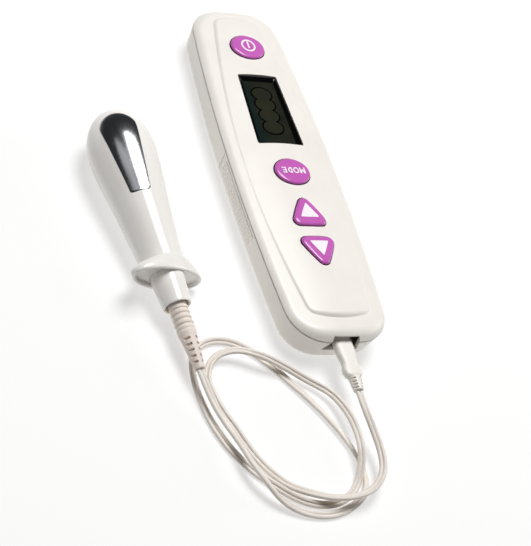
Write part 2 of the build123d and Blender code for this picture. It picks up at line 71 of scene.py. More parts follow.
def add(tree, kind, sockets, **settings):
    """A new node with its settings; each input socket takes a value or another node's output."""
    node = tree.nodes.new(kind)
    for name, value in settings.items():
        setattr(node, name, value)
    for name, value in sockets.items():
        if isinstance(value, bpy.types.NodeSocket):
            tree.links.new(value, node.inputs[name])
        else:
            node.inputs[name].default_value = value
    return node


def softbox(name, place, size, power, look_at=(-0.02, -0.04, 0.01)):
    lamp = bpy.data.lights.new(name, "AREA")
    lamp.shape = "RECTANGLE"
    lamp.size, lamp.size_y = size
    lamp.energy = power
    box = bpy.data.objects.new(name, lamp)
    box.location = place
    box.rotation_euler = (Vector(look_at) - Vector(place)).to_track_quat("-Z", "Y").to_euler()
    scene.collection.objects.link(box)


softbox("softbox_top", (0.06, 0.24, 1.0), (0.45, 0.55), 10.6)
softbox("softbox_right", (0.85, -0.05, 0.35), (0.5, 0.4), 1.8)
softbox("softbox_left", (-0.5, 0.2, 0.8), (0.25, 0.4), 0.25)
sky = bpy.data.worlds.new("studio")
sky.use_nodes = True
sky.node_tree.nodes["Background"].inputs["Color"].default_value = linear("#F4F6FA")
sky.node_tree.nodes["Background"].inputs["Strength"].default_value = 0.04
scene.world = sky

paper = bpy.data.materials.new("backlit_opal_acrylic")
paper.use_nodes = True
shader = paper.node_tree.nodes["Principled BSDF"]
shader.inputs["Base Color"].default_value = linear("#B4B4B3")
shader.inputs["Roughness"].default_value = 0.9
shader.inputs["Specular IOR Level"].default_value = 0.1
shader.inputs["Emission Color"].default_value = linear("#FFFFFF")
shader.inputs["Emission Strength"].default_value = 0.54
bpy.ops.mesh.primitive_plane_add(size=6.0, location=(0, 0, -0.0002))
floor = bpy.context.object
floor.name = "floor"
floor.data.materials.append(paper)

# ---- lead ----------------------------------------------------------------------------------------
# A limp twin lead, two PVC-covered strands side by side like a figure of eight, extruded in one go.
# It leaves the plug's sleeve, lies in two loose loops on the table and ends in the probe's sleeve, so
# its whole length is seen.
route = [
    (0.0, -95.0, 10.5), (0.3, -101.5, 10.1), (2.2, -108.5, 8.2), (3.4, -116.0, 6.8),
    (2.0, -123.5, 6.4), (-3.6, -129.5, 6.4), (-11.0, -132.0, 6.4), (-19.0, -131.6, 5.4),
    (-26.2, -128.2, 3.4), (-33.0, -123.4, 1.4), (-38.8, -117.0, 1.4), (-42.8, -109.5, 1.4),
    (-45.6, -101.2, 1.4), (-48.2, -95.4, 1.4), (-49.8, -88.4, 1.4), (-50.6, -82.0, 1.4),
    (-46.6, -74.8, 3.0), (-38.4, -73.4, 5.4), (-30.6, -76.6, 6.6), (-21.8, -80.2, 4.6),
    (-13.4, -84.8, 2.6), (-6.0, -90.5, 3.4), (-3.4, -98.5, 5.2), (-3.0, -106.5, 6.6),
    (-3.4, -113.8, 6.6), (-4.2, -120.0, 3.8), (-7.0, -126.0, 1.4), (-13.2, -130.6, 1.4),
    (-21.0, -132.2, 1.4), (-29.8, -129.8, 1.4), (-37.0, -124.0, 1.4), (-43.8, -117.8, 1.4),
    (-49.2, -110.2, 1.4), (-52.8, -101.4, 1.4), (-54.8, -92.0, 1.4), (-55.4, -82.5, 1.4),
    (-53.6, -73.8, 1.4), (-48.0, -68.4, 1.4), (-40.2, -67.4, 1.4), (-32.6, -70.4, 1.4),
    (-26.2, -76.0, 1.4), (-20.4, -83.0, 1.4), (-14.4, -91.0, 1.4), (-8.8, -100.0, 1.4),
    (-4.6, -109.0, 1.4), (-2.0, -118.5, 1.4), (-3.4, -127.6, 1.4), (-10.8, -133.2, 1.4),
    (-20.0, -135.8, 1.4), (-29.4, -134.4, 1.4), (-37.4, -130.4, 2.8), (-42.8, -124.2, 5.8),
    (-46.2, -117.6, 6.4), (-47.6, -109.5, 5.0), (-50.0, -101.5, 4.2), (-53.6, -92.8, 5.6),
    (-55.3, -82.7, 7.1),
]
line = bpy.data.curves.new("lead_route", "CURVE")
line.dimensions = "3D"
line.resolution_u = 12
spline = line.splines.new("NURBS")
spline.points.add(len(route) - 1)
for point, (x, y, z) in zip(spline.points, route):
    point.co = (x * MM, y * MM, z * MM, 1.0)
spline.order_u = 3
spline.use_endpoint_u = True
route_object = bpy.data.objects.new("lead_route", line)
scene.collection.objects.link(route_object)
sampled = bpy.data.meshes.new_from_object(route_object.evaluated_get(bpy.context.evaluated_depsgraph_get()))
centres = [v.co.copy() for v in sampled.vertices]
bpy.data.objects.remove(route_object)

strand_r = 0.75 * MM
strand_apart = 0.65 * MM      # from the lead's middle to a strand's
lead_w = 2 * (strand_r + strand_apart)
travelled = [0.0]
for a, b in zip(centres, centres[1:]):
    travelled.append(travelled[-1] + (b - a).length)
lead_length = travelled[-1]


def ease(value):
    value = min(max(value, 0.0), 1.0)
    return value * value * (3 - 2 * value)


web = math.acos(strand_apart / strand_r)
section = []
for side in (1, -1):
    for k in range(13):
        turn = (math.pi - web) * (k / 6 - 1)
        out = strand_apart + strand_r * math.cos(turn)
        section.append((side * out, side * strand_r * math.sin(turn)))
rings, lead_path = [], []
for i, here in enumerate(centres):
    ahead = centres[min(i + 1, len(centres) - 1)] - centres[max(i - 1, 0)]
    level = Vector((0, 0, 1)).cross(ahead).normalized()
    above = ahead.cross(level).normalized()
    free = ease(travelled[i] / 0.03) * ease((lead_length - travelled[i]) / 0.03)
    roll = math.radians(38) * free * math.sin(travelled[i] / lead_length * math.tau * 3.5)
    low = lead_w / 2 - strand_r - strand_apart * abs(math.sin(roll))
    middle = here - Vector((0, 0, low * free))
    wide = level * math.cos(roll) + above * math.sin(roll)
    thick = above * math.cos(roll) - level * math.sin(roll)
    lead_path.append(middle)
    rings.append([middle + wide * u + thick * v for u, v in section])


def make_piece(name, mesh, material, smooth_angle=35.0):
    """Turns a bmesh into an object at the origin, smooth except across sharp edges."""
    bmesh.ops.recalc_face_normals(mesh, faces=mesh.faces)
    data = bpy.data.meshes.new(name)
    mesh.to_mesh(data)
    mesh.free()
    data.materials.append(material)
    piece = bpy.data.objects.new(name, data)
    scene.collection.objects.link(piece)
    data.shade_smooth()
    data.set_sharp_from_angle(angle=math.radians(smooth_angle))
    return piece


def skin(name, rings, material, smooth_angle=35.0):
    """A closed object stretched over rings that all have the same number of points."""
    mesh = bmesh.new()
    rows = [[mesh.verts.new(point) for point in ring] for ring in rings]
    for first, second in zip(rows, rows[1:]):
        for k in range(len(first)):
            n = (k + 1) % len(first)
            mesh.faces.new((first[k], first[n], second[n], second[k]))
    mesh.faces.new(rows[0])
    mesh.faces.new(reversed(rows[-1]))
    return make_piece(name, mesh, material, smooth_angle)


def plastic(name, dark, light, gloss, grain_scale=3500.0, grain=0.15, edge=0.0, ior=1.5):
    """A plastic: two close tones in soft clouds, gloss that follows them, fine grain, eased edges."""
    material = bpy.data.materials.new(name)
    material.use_nodes = True
    tree = material.node_tree
    shader = tree.nodes["Principled BSDF"]
    place = add(tree, "ShaderNodeTexCoord", {}).outputs["Object"]
    cloud = add(tree, "ShaderNodeTexNoise", {"Vector": place, "Scale": 60.0, "Detail": 3.0})
    tone = add(tree, "ShaderNodeValToRGB", {"Fac": cloud.outputs["Fac"]})
    tone.color_ramp.elements[0].color = linear(dark)
    tone.color_ramp.elements[0].position = 0.3
    tone.color_ramp.elements[1].color = linear(light)
    tone.color_ramp.elements[1].position = 0.7
    fine = add(tree, "ShaderNodeTexNoise", {"Vector": place, "Scale": grain_scale, "Detail": 2.0})
    bump = add(tree, "ShaderNodeBump", {
        "Height": fine.outputs["Fac"], "Strength": grain, "Distance": 0.0001})
    if edge:
        eased = add(tree, "ShaderNodeBevel", {"Radius": edge * MM}, samples=6)
        tree.links.new(eased.outputs["Normal"], bump.inputs["Normal"])
    polish = add(tree, "ShaderNodeMapRange", {
        "Value": cloud.outputs["Fac"], "To Min": gloss - 0.05, "To Max": gloss + 0.05})
    tree.links.new(tone.outputs["Color"], shader.inputs["Base Color"])
    tree.links.new(bump.outputs["Normal"], shader.inputs["Normal"])
    tree.links.new(polish.outputs["Result"], shader.inputs["Roughness"])
    shader.inputs["IOR"].default_value = ior
    return material


# Plasticised PVC, extruded: a soft satin skin, slightly creamy, with faint cloudiness and a fine
# drawn grain.
lead_pvc = plastic("extruded_pvc", "#E3DAD0", "#EFE8E0", 0.42, 4000.0, 0.12, ior=1.53)
lead = skin("twin_lead", rings, lead_pvc, 50.0)
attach(lead, "lead")
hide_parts("lead_cord")

# ---- shells --------------------------------------------------------------------------------------
# Upper shell, lower shell and sliding battery door, injection moulded in warm white ABS. The mould is
# lightly spark eroded, so the satin surface has a fine even grain and soft, wide highlights; the
# edges are eased by the mould.
abs_white = plastic("moulded_abs_satin", "#EFEAE3", "#F3EFE8", 0.36, 3500.0, 0.12, edge=0.35, ior=1.54)


def finish_node(name, material):
    data = nodes[name].data
    data.materials.clear()
    data.materials.append(material)


for name in ("upper_shell", "lower_shell", "battery_door"):
    finish_node(name, abs_white)

# ---- grip ribs -----------------------------------------------------------------------------------
# Rows of fine slanted ribs moulded into both side walls of the battery door, just below its upper
# end, for the thumb and finger that push the door off. They are part of the door's moulding and share
# its satin white ABS.
def repeat_on(name, points, part, tree, material, body, edges=(), **values):
    """Bakes a Geometry Nodes tree, run on a few guide points, into one piece that rides a body."""
    guide = bpy.data.meshes.new(name)
    guide.from_pydata(points, edges, [])
    carrier = bpy.data.objects.new(name + "_guide", guide)
    scene.collection.objects.link(carrier)
    modifier = carrier.modifiers.new(part, "NODES")
    modifier.node_group = tree
    values["Material"] = material
    for item in tree.interface.items_tree:
        if item.item_type == "SOCKET" and item.in_out == "INPUT" and item.name in values:
            modifier[item.identifier] = values[item.name]
    carrier.update_tag()
    baked = bpy.data.meshes.new_from_object(carrier.evaluated_get(bpy.context.evaluated_depsgraph_get()))
    bpy.data.objects.remove(carrier)
    baked.name = name
    baked.shade_smooth()
    baked.set_sharp_from_angle(angle=math.radians(40))
    piece = bpy.data.objects.new(name, baked)
    scene.collection.objects.link(piece)
    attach(piece, body)
    return piece


def new_tree(name, *inputs):
    """An empty Geometry Nodes tree with geometry in and out, a material and the named inputs."""
    tree = bpy.data.node_groups.new(name, "GeometryNodeTree")
    tree.interface.new_socket("Geometry", in_out="OUTPUT", socket_type="NodeSocketGeometry")
    tree.interface.new_socket("Geometry", in_out="INPUT", socket_type="NodeSocketGeometry")
    tree.interface.new_socket("Material", in_out="INPUT", socket_type="NodeSocketMaterial")
    for label, kind in inputs:
        tree.interface.new_socket(label, in_out="INPUT", socket_type=kind)
    return tree, tree.nodes.new("NodeGroupInput")


def close_tree(tree, given, instances):
    """Realizes the instances, gives them the material and joins them to the tree's output."""
    real = add(tree, "GeometryNodeRealizeInstances", {"Geometry": instances})
    coated = add(tree, "GeometryNodeSetMaterial", {"Geometry": real.outputs["Geometry"],
                                                  "Material": given.outputs["Material"]})
    tree.links.new(coated.outputs["Geometry"], tree.nodes.new("NodeGroupOutput").inputs["Geometry"])


ribs, given = new_tree("rib_row", ("Pitch", "NodeSocketFloat"), ("Rib Radius", "NodeSocketFloat"),
                       ("Rib Length", "NodeSocketFloat"), ("Lean", "NodeSocketVector"))
rail = add(ribs, "GeometryNodeMeshToCurve", {"Mesh": given.outputs["Geometry"]})
row = add(ribs, "GeometryNodeResampleCurve", {
    "Curve": rail.outputs["Curve"], "Length": given.outputs["Pitch"]}, mode="LENGTH")
rib = add(ribs, "GeometryNodeMeshCylinder", {
    "Vertices": 10, "Radius": given.outputs["Rib Radius"], "Depth": given.outputs["Rib Length"]})
laid = add(ribs, "GeometryNodeInstanceOnPoints", {
    "Points": row.outputs["Curve"], "Instance": rib.outputs["Mesh"], "Rotation": given.outputs["Lean"]})
close_tree(ribs, given, laid.outputs["Instances"])
rib_z, rib_start, rib_count = 8.2, 3.4, 35
belly_top, belly_draft = 12.65, math.radians(7)
wall_middle, wall_slope, wall_bow = 22.1, -0.01067, -0.000658      # the stick's bowed side wall at its top
rib_sunk = 0.02
for side, label in ((1, "right"), (-1, "left")):
    rail_points = []
    for k in range(rib_count):
        y = rib_start - k
        wall = wall_middle + wall_slope * y + wall_bow * y * y - (belly_top - rib_z) * math.tan(belly_draft)
        rail_points.append((side * (wall - rib_sunk) * MM, y * MM, rib_z * MM))
    piece = repeat_on("grip_ribs_" + label, rail_points, "rib_row", ribs, abs_white, "door",
                      [(k, k + 1) for k in range(rib_count - 1)], **{
                          "Pitch": 1.0 * MM, "Rib Radius": 0.3 * MM, "Rib Length": 6.4 * MM,
                          "Lean": (math.radians(14), side * belly_draft, 0.0)})

# ---- window and display --------------------------------------------------------------------------
# A dark tinted PMMA window is clipped in from behind: a raised glossy black frame slopes down to a
# sunken pane, and the display under it shows as dark olive glass with a column of four joined ovals.
pmma_black = plastic("polished_pmma_black", "#030303", "#060607", 0.07, 900.0, 0.01, ior=1.49)
corner = 0.7
window_levels = [                       # half width and place of the upper edge, of the lower edge, height
    (8.2, 41.3, 9.6, 8.0, 15.1), (8.2, 41.3, 9.6, 8.0, 16.05), (8.05, 41.15, 9.45, 8.15, 16.2),
    (7.75, 40.85, 9.1, 8.45, 16.2), (7.0, 39.6, 8.1, 9.3, 15.5), (6.9, 39.5, 8.0, 9.4, 15.4),
]
window_rings = []
for half_top, y_top, half_low, y_low, z in window_levels:
    ring = []
    corners = (
        (corner - half_low, y_low + corner, 180), (half_low - corner, y_low + corner, 270),
        (half_top - corner, y_top - corner, 0), (corner - half_top, y_top - corner, 90))
    for x, y, start in corners:
        for k in range(7):
            turn = math.radians(start + k * 15)
            ring.append(Vector((x + corner * math.cos(turn), y + corner * math.sin(turn), z)) * MM)
    window_rings.append(ring)
window = skin("display_window", window_rings, pmma_black, 25.0)
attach(window, "controller")
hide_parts("window_lens", "window_mask")

# Laminated display glass under the window: near-black olive with a cloudy teal cast towards one edge.
glass = bpy.data.materials.new("laminated_lcd_glass")
glass.use_nodes = True
tree = glass.node_tree
shader = tree.nodes["Principled BSDF"]
place = add(tree, "ShaderNodeTexCoord", {}).outputs["Object"]
split = add(tree, "ShaderNodeSeparateXYZ", {"Vector": place})
side = add(tree, "ShaderNodeMapRange", {
    "Value": split.outputs["X"], "From Min": -0.008, "From Max": -0.002})
cloud = add(tree, "ShaderNodeTexNoise", {"Vector": place, "Scale": 130.0, "Detail": 3.0})
tone = add(tree, "ShaderNodeValToRGB", {"Fac": cloud.outputs["Fac"]})
tone.color_ramp.elements[0].color = linear("#1A1D17")
tone.color_ramp.elements[0].position = 0.3
tone.color_ramp.elements[1].color = linear("#282921")
tone.color_ramp.elements[1].position = 0.7
cast = add(tree, "ShaderNodeMix", {      # factor, then the two colours
    0: side.outputs["Result"], 6: linear("#10201F"), 7: tone.outputs["Color"]}, data_type="RGBA")
tree.links.new(cast.outputs[2], shader.inputs["Base Color"])
shader.inputs["Roughness"].default_value = 0.16
shader.inputs["IOR"].default_value = 1.33
pane_points = [(-7.9, 9.5), (7.4, 9.5), (6.7, 39.3), (-6.5, 39.3)]
pane_rings = [[Vector((x, y, z)) * MM for x, y in pane_points] for z in (15.38, 15.46)]
pane = skin("display_pane", pane_rings, glass, 20.0)
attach(pane, "controller")
finish_node("lcd_module", glass)

# Printed segments of the display: black liquid-crystal lines around a slightly lighter olive field.
segment_black = plastic("lcd_segment_black", "#000000", "#020202", 0.1, 900.0, 0.01, ior=1.3)
segment_field = plastic("lcd_field_olive", "#22241B", "#2A2C21", 0.15, 900.0, 0.01, ior=1.33)
oval_rows = [33.1, 28.0, 22.5, 16.9]
oval_layers = [("oval_outlines", 0.35, 15.50, segment_black), ("oval_fields", -0.25, 15.53, segment_field)]
for name, grow, z, material in oval_layers:
    mesh = bmesh.new()
    half_w, half_h = 4.3 + grow, 3.3 + grow
    for count, y in enumerate(oval_rows):
        rows = []
        for height in (z - 0.05, z + 0.005 * count):      # each oval just over the last one
            row = []
            for k in range(48):
                t = k * math.tau / 48
                point = Vector((half_w * math.cos(t), y + half_h * math.sin(t), height))
                row.append(mesh.verts.new(point * MM))
            rows.append(row)
        for k in range(48):
            n = (k + 1) % 48
            mesh.faces.new((rows[0][k], rows[0][n], rows[1][n], rows[1][k]))
        mesh.faces.new(rows[1])
        mesh.faces.new(reversed(rows[0]))
    piece = make_piece(name, mesh, material, 30.0)
    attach(piece, "controller")

# ---- buttons -------------------------------------------------------------------------------------
# Four keys moulded in glossy orchid ABS: two ovals and two rounded triangles. Each has an almost flat
# top that rolls over into a short upright side, and stands in its opening with a narrow gap all round,
# whose darkness is painted shade: a dark plum skirt under the cap.
abs_pink = plastic("moulded_abs_orchid_gloss", "#C560B8", "#CC68BF", 0.2, 1800.0, 0.05, ior=1.54)


def outline_of(name, z_low, z_high, count=96):
    """The outline from above of a CAD node's points between two heights, evenly spread in angle."""
    flat = sorted({(round(v.co.x, 6), round(v.co.y, 6)) for v in nodes[name].data.vertices
                   if z_low * MM < (nodes[name].matrix_world @ v.co).z < z_high * MM})
    hull = []
    for points in (flat, list(reversed(flat))):
        chain = []
        for p in points:
            while len(chain) > 1 and ((chain[-1][0] - chain[-2][0]) * (p[1] - chain[-2][1])
                                      - (chain[-1][1] - chain[-2][1]) * (p[0] - chain[-2][0])) <= 0:
                chain.pop()
            chain.append(p)
        hull += chain[:-1]
    middle_y = (min(p[1] for p in hull) + max(p[1] for p in hull)) / 2
    middle = Vector((sum(p[0] for p in hull) / len(hull), middle_y))
    spread = []
    for k in range(count):
        ray = Vector((math.cos(k * math.tau / count), math.sin(k * math.tau / count)))
        best = None
        for a, b in zip(hull, hull[1:] + hull[:1]):
            a, b = Vector(a) - middle, Vector(b) - middle
            along = b - a
            bottom = ray.x * along.y - ray.y * along.x
            if abs(bottom) < 1e-12:
                continue
            reach = (a.x * along.y - a.y * along.x) / bottom
            share = (a.x * ray.y - a.y * ray.x) / bottom
            if reach > 0 and -1e-6 <= share <= 1 + 1e-6:
                best = reach
        spread.append(ray * (best or 0.001))
    return middle, spread


cap_levels = [(1.0, 17.2), (0.992, 17.35), (0.972, 17.62), (0.94, 17.81), (0.9, 17.93), (0.84, 18.01),
              (0.76, 18.06), (0.66, 18.085), (0.5, 18.09), (0.3, 18.09), (0.08, 18.09)]
skirt_levels = [(1.1, 14.97), (1.1, 15.36), (1.0, 15.42), (1.0, 17.2)]
# The skirts and return collars under the caps are painted shade: matt dark plum for the keys' shaded lower
# sides, keeping the gaps black.
painted_gap_shade = plastic("plum_skirt_painted_shade", "#1C0418", "#28081F", 0.6, 1800.0, 0.1, ior=1.41)
for key in ("power", "mode", "up", "down"):
    middle, spread = outline_of(key + "_button", 17.2, 17.6)
    rings = [[Vector((middle.x + p.x * scale, middle.y + p.y * scale, z * MM)) for p in spread]
             for scale, z in cap_levels]
    cap = skin(key + "_cap", rings, abs_pink, 60.0)
    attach(cap, key + "_key")
    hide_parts(key + "_button")
    # Each skirt is a dark plum ring, painted as the shade on the key's lower side and in its gap.
    rings = [[Vector((middle.x + p.x * scale, middle.y + p.y * scale, z * MM)) for p in spread]
             for scale, z in skirt_levels]
    skirt = skin(key + "_skirt", rings, painted_gap_shade, 30.0)
    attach(skirt, key + "_key")

# Pad-printed two-part ink: dense, slightly raised white with a soft sheen and a barely mottled edge-
# to-edge coat.
ink = plastic("pad_printed_ink_white", "#F4ECF3", "#FBF5FA", 0.42, 2500.0, 0.06)
for name in ("power_symbol", "mode_legend", "up_arrow", "down_arrow"):
    finish_node(name, ink)

# ---- plug ----------------------------------------------------------------------------------------
# The plug's grip is over-moulded in ivory PVC: a flat body drawn in at the waist, with a few soft
# cross ridges on both narrow sides for the fingers, and a tapered sleeve behind it that guards the
# lead against kinking.
pvc_ivory = plastic("moulded_pvc_ivory", "#EFEAE2", "#F5F1EB", 0.4, 2600.0, 0.1, edge=0.2, ior=1.53)
grip_start, grip_length = -71.6, 18.0
stations = [                            # place along the lead, half width, half thickness
    (grip_start, 2.9, 1.5), (-71.9, 3.2, 1.8), (-73.5, 3.35, 1.9), (-76.0, 3.55, 1.9), (-78.0, 3.6, 1.9),
    (-80.5, 3.35, 1.88), (-82.6, 3.0, 1.8), (-84.2, 2.9, 1.78), (-85.6, 3.3, 1.85), (-86.6, 3.58, 1.88),
    (-87.6, 3.55, 1.88), (-88.6, 3.25, 1.85), (-89.2, 2.9, 1.7), (-89.6, 2.4, 1.3),
]


def between(table, y):
    """Smoothly interpolated values from a table whose first column falls."""
    for first, second in zip(table, table[1:]):
        if first[0] >= y >= second[0]:
            straight = (first[0] - y) / (first[0] - second[0])
            share = ease(straight) * 0.35 + straight * 0.65
            return [p + (q - p) * share for p, q in zip(first[1:], second[1:])]
    return list(table[-1][1:])


grip_z = 10.5
ridges_from, ridges_to, ridge_pitch, ridge_depth = -73.0, -79.25, 1.25, 0.13
grip_rings = []
for k in range(121):
    y = grip_start - grip_length * k / 120
    half, thick = between(stations, y)
    ridge = 0.0
    if ridges_to < y < ridges_from:
        ridge = ridge_depth * (0.5 - 0.5 * math.cos((y - ridges_from) * math.tau / ridge_pitch))
    ring = []
    for n in range(64):
        t = n * math.tau / 64
        x = math.copysign(abs(math.cos(t)) ** 0.55, math.cos(t))
        z = math.copysign(abs(math.sin(t)) ** 0.62, math.sin(t))
        ring.append(Vector((x * (half - ridge * abs(x) ** 6), y, grip_z + z * thick)) * MM)
    grip_rings.append(ring)
grip = skin("plug_grip", grip_rings, pvc_ivory, 50.0)
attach(grip, "lead")
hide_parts("plug_housing")


def metal(name, dark, light, gloss, scratch_scale=1500.0, scratch=0.05, stretch=(1.0, 1.0, 1.0), edge=0.0):
    """A bare or plated metal whose tone, gloss and skin follow fine stretched working marks."""
    material = bpy.data.materials.new(name)
    material.use_nodes = True
    tree = material.node_tree
    shader = tree.nodes["Principled BSDF"]
    shader.inputs["Metallic"].default_value = 1.0
    place = add(tree, "ShaderNodeTexCoord", {}).outputs["Object"]
    drawn = add(tree, "ShaderNodeMapping", {"Vector": place, "Scale": stretch})
    marks = add(tree, "ShaderNodeTexNoise", {
        "Vector": drawn.outputs["Vector"], "Scale": scratch_scale, "Detail": 3.0})
    tone = add(tree, "ShaderNodeValToRGB", {"Fac": marks.outputs["Fac"]})
    tone.color_ramp.elements[0].color = linear(dark)
    tone.color_ramp.elements[1].color = linear(light)
    bump = add(tree, "ShaderNodeBump", {
        "Height": marks.outputs["Fac"], "Strength": scratch, "Distance": 0.00005})
    if edge:
        eased = add(tree, "ShaderNodeBevel", {"Radius": edge * MM}, samples=6)
        tree.links.new(eased.outputs["Normal"], bump.inputs["Normal"])
    polish = add(tree, "ShaderNodeMapRange", {
        "Value": marks.outputs["Fac"], "To Min": gloss * 0.8, "To Max": gloss * 1.2})
    tree.links.new(tone.outputs["Color"], shader.inputs["Base Color"])
    tree.links.new(bump.outputs["Normal"], shader.inputs["Normal"])
    tree.links.new(polish.outputs["Result"], shader.inputs["Roughness"])
    return material


# Gold-plated spring brass of the plug's contacts: warm and bright, with fine drawing marks.
gold = metal("gold_plated_brass", "#C89A48", "#E3BC6C", 0.22, 900.0, 0.04, (1.0, 0.1, 1.0), 0.15)
finish_node("plug_nose", gold)


def lathe(name, table, dent, material, place, steps=0.16, count=96, smooth_angle=38.0):
    """A turned sleeve from (radius, station) rows, with dent(angle, station) pressed in."""
    marks = []
    for (r0, s0), (r1, s1) in zip(table, table[1:]):
        parts = max(1, int((s1 - s0) / steps))
        marks += [(r0 + (r1 - r0) * k / parts, s0 + (s1 - s0) * k / parts) for k in range(parts)]
    marks.append(table[-1])
    rings = []
    for r, s in marks:
        ring = []
        for n in range(count):
            t = n * math.tau / count
            deep = max(r - dent(t, s), 0.2)
            ring.append(place @ (Vector((deep * math.cos(t), deep * math.sin(t), s)) * MM))
        rings.append(ring)
    return skin(name, rings, material, smooth_angle)


def short_slots(first, pitch, rows, long, half_angle, depth):
    """Rows of four short cross slots each, left apart by a narrow web at every quarter turn."""
    def dent(angle, station):
        row = math.floor((station - first) / pitch)
        if row < 0 or row >= rows or (station - first) - row * pitch > long:
            return 0.0
        off = angle % (math.pi / 2)
        off = min(off, math.pi / 2 - off)
        return 0.0 if off < half_angle else depth
    return dent


sleeve_foot = Vector((0, grip_start - grip_length, grip_z)) * MM
sleeve_place = Matrix.Translation(sleeve_foot) @ Matrix.Rotation(math.radians(90), 4, "X")
sleeve = lathe("plug_sleeve", [(2.2, 0.0), (2.3, 0.15), (2.25, 0.4), (1.85, 5.0), (1.75, 5.25), (1.5, 5.4)],
               short_slots(0.75, 1.15, 4, 0.5, 0.33, 0.75), pvc_ivory, sleeve_place, 0.06)
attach(sleeve, "lead")
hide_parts("plug_strain_relief")

# ---- probe body ----------------------------------------------------------------------------------
# A smooth bulb tapering to a waist, moulded in white ABS and buffed so nothing catches: glossy, with
# a small clean highlight. The two electrodes are let into it flush.
abs_buffed = plastic("buffed_abs_white", "#F2EEE9", "#F6F3EF", 0.2, 1500.0, 0.03, edge=0.2, ior=1.54)
bulb, tail = Vector((-63.4, 3.3, 12.05)), Vector((-55.3, -82.7, 7.1))
axis = (tail - bulb).normalized()
probe_x = (Vector((1, 0, 0)) - axis * axis.x).normalized()
probe_y = axis.cross(probe_x)
probe = Matrix.Translation(bulb * MM) @ Matrix((probe_x, probe_y, axis)).transposed().to_4x4()
nose_length, bulb_radius = 17.3, 12.0
flank = [                               # station along the probe's axis, radius
    (-5.0, 11.5), (0.0, bulb_radius), (10.3, 11.3), (21.9, 9.85), (33.0, 8.7), (41.4, 7.9), (47.6, 7.55),
]


def hull_radius(s):
    """The probe's radius at a station: half an ellipse at the nose, then a smooth run to the waist."""
    if s < 0:
        return bulb_radius * math.sqrt(max(0.0, 1 - (s / -nose_length) ** 2)) ** 0.985
    for k in range(1, len(flank) - 1):
        (s0, r0), (s1, r1) = flank[k], flank[k + 1]
        if s0 <= s <= s1:
            before, after = flank[k - 1], flank[min(k + 2, len(flank) - 1)]
            m0 = 0.0 if k == 1 else (r1 - before[1]) / (s1 - before[0])
            m1 = (after[1] - r0) / (after[0] - s0)
            t, h = (s - s0) / (s1 - s0), s1 - s0
            return ((2 * t ** 3 - 3 * t * t + 1) * r0 + (t ** 3 - 2 * t * t + t) * h * m0
                    + (3 * t * t - 2 * t ** 3) * r1 + (t ** 3 - t * t) * h * m1)
    return flank[-1][1]


rows = [-nose_length * math.cos(k * math.pi / 80) for k in range(1, 40)] + [k * 0.8 for k in range(60)]
around = [k * math.tau / 128 for k in range(128)]
rings = []
for s in rows:
    r = hull_radius(s)
    rings.append([probe @ (Vector((r * math.cos(t), r * math.sin(t), s)) * MM) for t in around])
hull = skin("probe_hull", rings, abs_buffed, 60.0)
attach(hull, "lead")
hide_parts("probe_body")

# ---- electrodes ----------------------------------------------------------------------------------
# Two shield-shaped plates of stainless steel, deep-drawn to the bulb's curve, mirror polished and
# bonded in opposite each other: round towards the nose, straight at the lower end, with a very thin
# rolled edge.
steel = metal("mirror_polished_stainless", "#A9AAAD", "#BBBCC0", 0.2, 700.0, 0.01)
shoulder, shoulder_s = 6.56, -4.5       # half width at the shoulders, and their station
foot, foot_s = 3.7, 21.4                # half width at the lower end, and its station
side_run = 24.9                         # length of the straight sides
shield = []
for k in range(49):                     # the nose arc, from one shoulder round the tip to the other
    t = math.radians(186) + math.radians(168) * k / 48
    shield.append((6.58 * math.cos(t), 6.6 * math.sin(t) - 5.2))
for k in range(1, 25):
    shield.append((shoulder - (shoulder - foot) * k / 24, shoulder_s + side_run * k / 24))
for k in range(13):
    shield.append((foot - 2 * foot * k / 12, foot_s - 0.55 * abs(k / 6 - 1) ** 8))
for k in range(24):
    shield.append((-foot - (shoulder - foot) * k / 24, shoulder_s + side_run * (1 - k / 24)))
proud = 0.12                            # the plate's face above the bulb's
levels = [(1.0, -0.25), (1.0, -0.04), (0.995, 0.05), (0.985, 0.1), (0.97, proud)]
levels += [(0.97 - 0.95 * k / 30, proud) for k in range(1, 31)]
shield_s = 5.0                          # the station that the plate's rings shrink to
electrode_roll = 21.0
for name, turn in (("electrode_upper", 0), ("electrode_lower", 180)):
    spin = probe @ Matrix.Rotation(math.radians(turn + electrode_roll), 4, "Z")
    rings = []
    for scale, lift in levels:
        ring = []
        for x, s in shield:
            x, s = x * scale, shield_s + (s - shield_s) * scale
            r = hull_radius(s) + lift
            ring.append(spin @ (Vector((x, math.sqrt(max(r * r - x * x, 0.01)), s)) * MM))
        rings.append(ring)
    plate = skin(name + "_plate", rings, steel, 50.0)
    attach(plate, "lead")
    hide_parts(name)

# ---- stop flange and neck ------------------------------------------------------------------------
# A thick winged oval that stops the probe at the right depth, moulded in white ABS: domed on the
# bulb's side, with a rounded rim and a hollow underside. The neck behind it is a plain taper with an
# open mouth for the lead's sleeve.
flange_rows = [                         # half width, half thickness, station
    (6.9, 6.9, 45.2), (8.2, 7.55, 45.6), (10.8, 7.75, 46.5), (13.2, 7.5, 47.7), (15.0, 7.25, 48.9),
    (15.75, 7.1, 49.7), (16.0, 7.0, 50.4), (15.9, 6.95, 51.1), (15.55, 6.7, 51.55), (15.0, 6.3, 51.7),
    (14.5, 5.8, 51.5), (14.3, 5.6, 51.1), (14.1, 5.5, 50.3), (7.0, 5.4, 50.25), (5.6, 5.3, 50.25),
]
flange_roll = -22.0
spin = probe @ Matrix.Rotation(math.radians(flange_roll), 4, "Z")
rings = []
for half, thick, s in flange_rows:
    rings.append([spin @ (Vector((half * math.cos(t), thick * math.sin(t), s)) * MM) for t in around])
flange = skin("stop_flange", rings, abs_buffed, 50.0)
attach(flange, "lead")
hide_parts("probe_flange")
neck_rows = [
    (5.6, 50.0), (6.0, 50.3), (4.95, 61.9), (4.85, 62.3), (4.6, 62.45), (4.25, 62.3), (4.05, 61.6),
    (4.2, 58.0), (3.6, 57.5),
]
